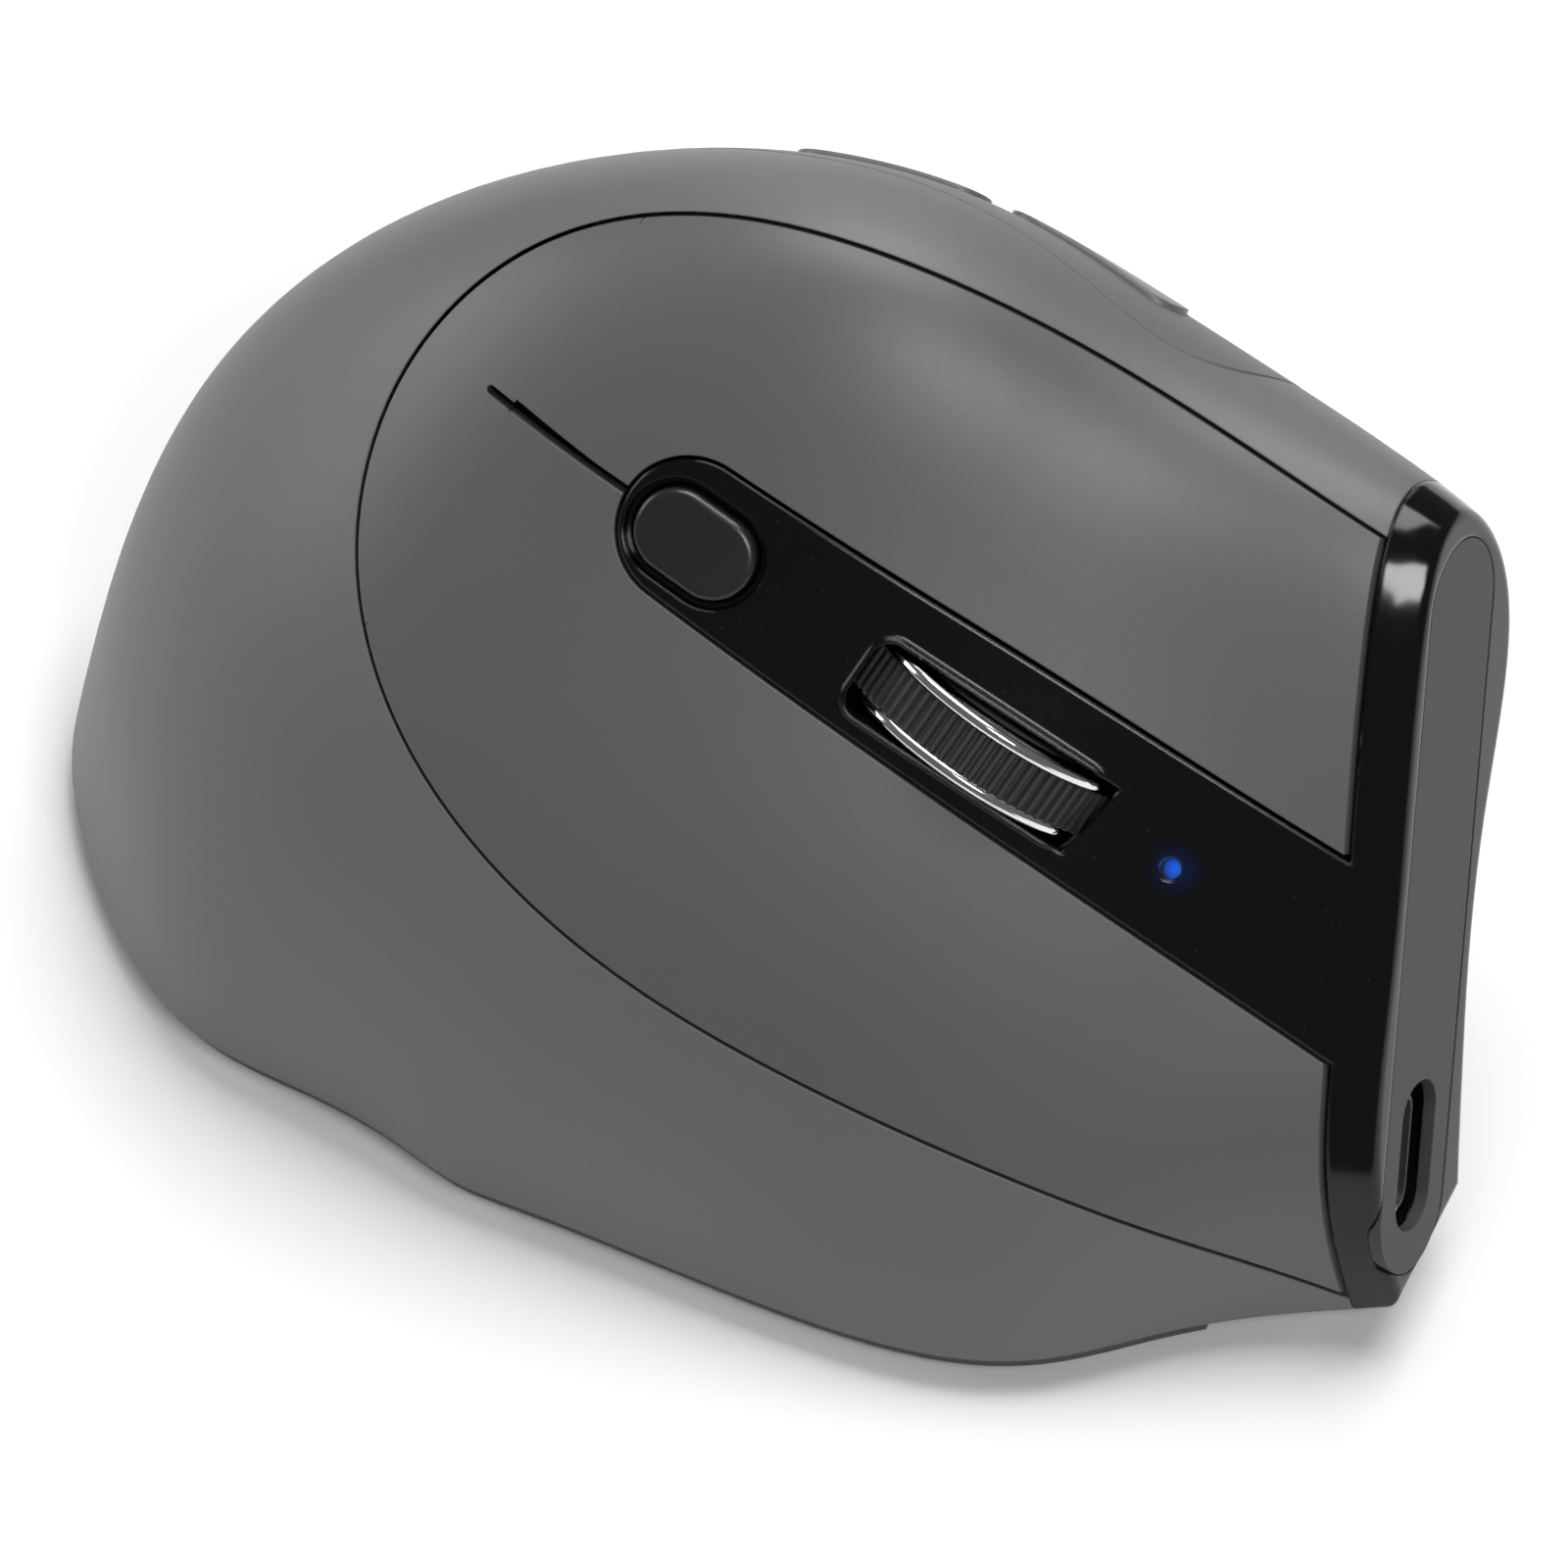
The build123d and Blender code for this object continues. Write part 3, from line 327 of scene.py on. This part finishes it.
def buildLedBlue():
    # brightest at the middle of the window, dark where the window goes down into the strip
    look = {"inside": (0.02, 0.30, 1.0), "rim": (0.0, 0.11, 0.8), "deep": (0.0, 0.0, 0.004),
            "core": (0.0002, 0.0009), "end": (0.0012, 0.0018), "strength": 1.0}
    material, tree, shader = startMaterial("ledBlue", {"ior": 1.49})
    shader.inputs["Roughness"].default_value = 0.25
    place, away = distanceFrom(tree, ledTop)
    near = mapped(tree, away, *look["core"], 1.0, 0.0, True)
    mottle = addNode(tree, "ShaderNodeTexNoise", {"Scale": 2200.0, "Detail": 2.0})
    tree.links.new(place.outputs["Object"], mottle.inputs["Vector"])
    near = mathNode(tree, "MULTIPLY", near, mapped(tree, mottle.outputs["Fac"], 0.3, 0.7, 0.8, 1.0))
    lit = mapped(tree, away, *look["end"], 1.0, 0.0)
    glow = colourMix(tree, lit, look["deep"], colourMix(tree, near, look["rim"], look["inside"]))
    tree.links.new(glow, shader.inputs["Base Color"])
    tree.links.new(glow, shader.inputs["Emission Color"])
    shader.inputs["Emission Strength"].default_value = look["strength"]
    return material


def addPaintedLedGlow():
    # painted light: the glow that the lens spills over the gloss strip round it, painted as blue
    # emission on the strip that fades out from the lens
    look = {"colour": (0.0, 0.10, 0.9), "inner": 0.0006, "outer": 0.0032, "fade": 2.6,
            "strength": 0.16}
    _, away = distanceFrom(trimTree, ledTop)
    near = mapped(trimTree, away, look["inner"], look["outer"], 1.0, 0.0)
    near = mathNode(trimTree, "POWER", near, look["fade"])
    # painted glow: emission colour on the trim, strongest next to the lens
    glow = colourMix(trimTree, near, (0.0, 0.0, 0.0), look["colour"])
    trimTree.links.new(glow, trimShader.inputs["Emission Color"])
    trimShader.inputs["Emission Strength"].default_value = look["strength"]


ledHalfHeight = 0.0023
ledTop = middleOf("led_lens") + faceNormal * ledHalfHeight
ledBlue = buildLedBlue()
addPaintedLedGlow()

lensClear, _, lensShader = mouldedPlastic("lensClear", {"colour": (0.85, 0.9, 0.92), "rough": 0.06,
                                                        "grain": 0.0, "ior": 1.49})
lensShader.inputs["Transmission Weight"].default_value = 0.9

finishes = {
    casingSatin: ["main_shell"],
    panelSatin: ["palm_panel", "left_key", "right_key"],
    thumbSoft: ["thumb_panel"],
    trimGloss: ["centre_trim"],
    plateSatin: ["nose_plate"],
    sideButtonPlastic: ["forward_button", "back_button"],
    dpiPlastic: ["dpi_button", "power_slider"],
    ledBlue: ["led_lens"],
    tyreRubber: ["wheel_tyre"],
    rimChrome: ["wheel_rims"],
    innerPlastic: ["wheel_hub", "wheel_cradle", "mid_frame", "usb_tongue"],
    switchPlastic: ["wheel_encoder", "wheel_switch", "dpi_switch", "left_microswitch",
                    "right_microswitch", "forward_switch", "back_switch", "optical_sensor"],
    plungerPlastic: ["wheel_plunger", "dpi_plunger", "left_plunger", "right_plunger",
                     "forward_plunger", "back_plunger", "battery_plug", "led_chip"],
    boardGreen: ["face_board", "thumb_board", "main_board", "usb_board"],
    steelZinc: ["face_board_screws", "thumb_board_screws", "base_screws", "main_board_screws",
                "power_housing", "usb_receptacle"],
    basePlastic: ["base_plate"],
    skatePlastic: ["skates"],
    lensClear: ["sensor_lens"],
    batteryFoil: ["battery"],
    padFoam: ["battery_pad"],
    wireSleeve: ["battery_lead"],
}
for material, names in finishes.items():
    for name in names:
        for materialSlot in nodes[name].material_slots:
            materialSlot.material = material
print("finishes placed on", sum(len(v) for v in finishes.values()), "nodes")


# pieces that ride with the frame
def finishPiece(name, mesh, material, body):
    data = bpy.data.meshes.new(name)
    mesh.to_mesh(data)
    mesh.free()
    for polygon in data.polygons:
        polygon.use_smooth = True
    piece = bpy.data.objects.new(name, data)
    bpy.context.scene.collection.objects.link(piece)
    data.materials.append(material)
    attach(piece, body)
    return piece


def surfaceOf(names):
    # one search tree over the named nodes, in metres
    points = []
    triangles = []
    for name in names:
        data = nodes[name].data
        data.calc_loop_triangles()
        start = len(points)
        points += [v.co.copy() for v in data.vertices]
        triangles += [[start + i for i in t.vertices] for t in data.loop_triangles]
    return BVHTree.FromPolygons(points, triangles)


flexWeb = {"halfWidth": 0.0004, "proud": 0.000008, "steps": 160, "reach": 0.045,
           "halfCut": 0.000025, "above": 0.02, "leastFacing": 0.25}


def buildFlexWeb():
    # a thin strip of panel skin laid over the cut where the finger keys begin; the real skin bends
    # there, this piece rides rigidly with the body
    look = flexWeb
    surface = surfaceOf(["palm_panel", "left_key", "right_key"])
    middle = Vector(joints["left_key_flex"]["pos_m"]) + alongStrip * look["halfCut"]
    mesh = bmesh.new()
    bmesh.ops.create_grid(mesh, x_segments=3, y_segments=look["steps"], size=1.0)
    lost = []
    for v in mesh.verts:
        start = (middle + alongStrip * (v.co.x * look["halfWidth"])
                 + acrossStrip * (v.co.y * look["reach"]) + faceNormal * look["above"])
        hit, normal, _, _ = surface.ray_cast(start, -faceNormal, look["above"] * 1.5)
        if hit is None or normal.dot(faceNormal) < look["leastFacing"]:
            lost.append(v)
        else:
            v.co = hit + faceNormal * look["proud"]
    bmesh.ops.delete(mesh, geom=lost, context="VERTS")
    bmesh.ops.recalc_face_normals(mesh, faces=mesh.faces)
    if sum((f.normal.dot(faceNormal) for f in mesh.faces), 0.0) < 0:
        bmesh.ops.reverse_faces(mesh, faces=mesh.faces)
    return finishPiece("flexWeb", mesh, panelSatin, "body")


buildFlexWeb()

socketContacts = {"count": 12, "pitch": 0.0005, "width": 0.00028, "length": 0.0042, "proud": 0.00003,
                  "forward": 0.0002, "tongueHalf": 0.00035, "edge": 0.00001}


def buildSocketContacts():
    # gold contacts on both faces of the socket's tongue
    look = socketContacts
    middle = middleOf("usb_tongue") + noseNormal * look["forward"]
    mesh = bmesh.new()
    slant = longWay("usb_receptacle", noseNormal)
    side = noseNormal.cross(slant)
    turn = Matrix((slant, side, noseNormal)).transposed().to_4x4()
    size = Matrix.Diagonal((look["width"], look["proud"] * 2, look["length"], 1.0))
    for upOrDown in (-1, 1):
        for i in range(look["count"]):
            offset = (i - (look["count"] - 1) / 2) * look["pitch"]
            spot = middle + slant * offset + side * upOrDown * look["tongueHalf"]
            bmesh.ops.create_cube(mesh, size=1.0, matrix=Matrix.Translation(spot) @ turn @ size)
    bmesh.ops.bevel(mesh, geom=mesh.edges[:], offset=look["edge"], segments=1, affect="EDGES",
                    profile=0.5, material=-1)
    return finishPiece("socketContacts", mesh, contactGold, "body")


buildSocketContacts()
print("extra pieces made")


# floor, light and camera
def buildFloor():
    look = {"size": 3.0, "colour": (0.79, 0.79, 0.79), "below": 0.00002}
    mesh = bmesh.new()
    bmesh.ops.create_grid(mesh, x_segments=1, y_segments=1, size=look["size"])
    bmesh.ops.translate(mesh, verts=mesh.verts[:], vec=(0, 0, cadBox[0].z - look["below"]))
    data = bpy.data.meshes.new("floor")
    mesh.to_mesh(data)
    mesh.free()
    floor = bpy.data.objects.new("floor", data)
    bpy.context.scene.collection.objects.link(floor)
    material = bpy.data.materials.new("floorPaper")
    material.use_nodes = True
    tree = material.node_tree
    shader = tree.nodes["Principled BSDF"]
    shader.inputs["Roughness"].default_value = 0.9
    shader.inputs["Specular IOR Level"].default_value = 0.1
    shader.inputs["Base Color"].default_value = (*look["colour"], 1.0)
    clear = tree.nodes.new("ShaderNodeBsdfTransparent")
    mix = tree.nodes.new("ShaderNodeMixShader")
    side = tree.nodes.new("ShaderNodeNewGeometry")
    out = tree.nodes["Material Output"]
    tree.links.new(side.outputs["Backfacing"], mix.inputs[0])
    tree.links.new(shader.outputs[0], mix.inputs[1])
    tree.links.new(clear.outputs[0], mix.inputs[2])
    tree.links.new(mix.outputs[0], out.inputs["Surface"])
    data.materials.append(material)


lightAim = Vector((0, 0, 0.03))


def addSoftbox(name, place, width, height, power):
    light = bpy.data.lights.new(name, "AREA")
    light.shape = "RECTANGLE"
    light.size = width
    light.size_y = height
    light.energy = power
    box = bpy.data.objects.new(name, light)
    bpy.context.scene.collection.objects.link(box)
    box.location = place
    box.rotation_euler = (lightAim - Vector(place)).to_track_quat("-Z", "Y").to_euler()


def buildStudio():
    look = {"world": 0.14,
            "boxes": {"overhead": ((-0.26, 0.06, 0.85), 0.6, 0.55, 7.4),
                      "panelSide": ((0.40, 0.36, 0.66), 0.26, 0.2, 2.8),
                      "thumbSide": ((-0.6, -0.1, 0.35), 0.5, 0.4, 1.0),
                      "rear": ((0.05, -0.8, 0.4), 0.6, 0.25, 2.6)}}
    scene = bpy.context.scene
    world = bpy.data.worlds.new("studio")
    scene.world = world
    world.use_nodes = True
    background = world.node_tree.nodes["Background"]
    background.inputs["Color"].default_value = (1.0, 1.0, 1.0, 1.0)
    background.inputs["Strength"].default_value = look["world"]
    for name, (place, width, height, power) in look["boxes"].items():
        addSoftbox(name, place, width, height, power)
    scene.view_settings.view_transform = "Standard"
    scene.view_settings.look = "None"


def buildCamera():
    look = {"azimuth": 110.5, "elevation": 52.0, "distance": 0.6, "target": (-0.0006, 0.00085, 0.030),
            "lens": 183.6, "shift": (-0.0025, -0.0656)}
    a = math.radians(look["azimuth"])
    e = math.radians(look["elevation"])
    back = Vector((math.sin(a) * math.cos(e), -math.cos(a) * math.cos(e), math.sin(e)))
    camera = bpy.data.cameras.new("camera")
    camera.sensor_width = 36.0
    camera.lens = look["lens"]
    camera.shift_x, camera.shift_y = look["shift"]
    camera.clip_start = 0.01
    holder = bpy.data.objects.new("camera", camera)
    bpy.context.scene.collection.objects.link(holder)
    holder.location = Vector(look["target"]) + back * look["distance"]
    holder.rotation_euler = (-back).to_track_quat("-Z", "Y").to_euler()
    bpy.context.scene.camera = holder


buildFloor()
buildStudio()
buildCamera()
print("studio ready")
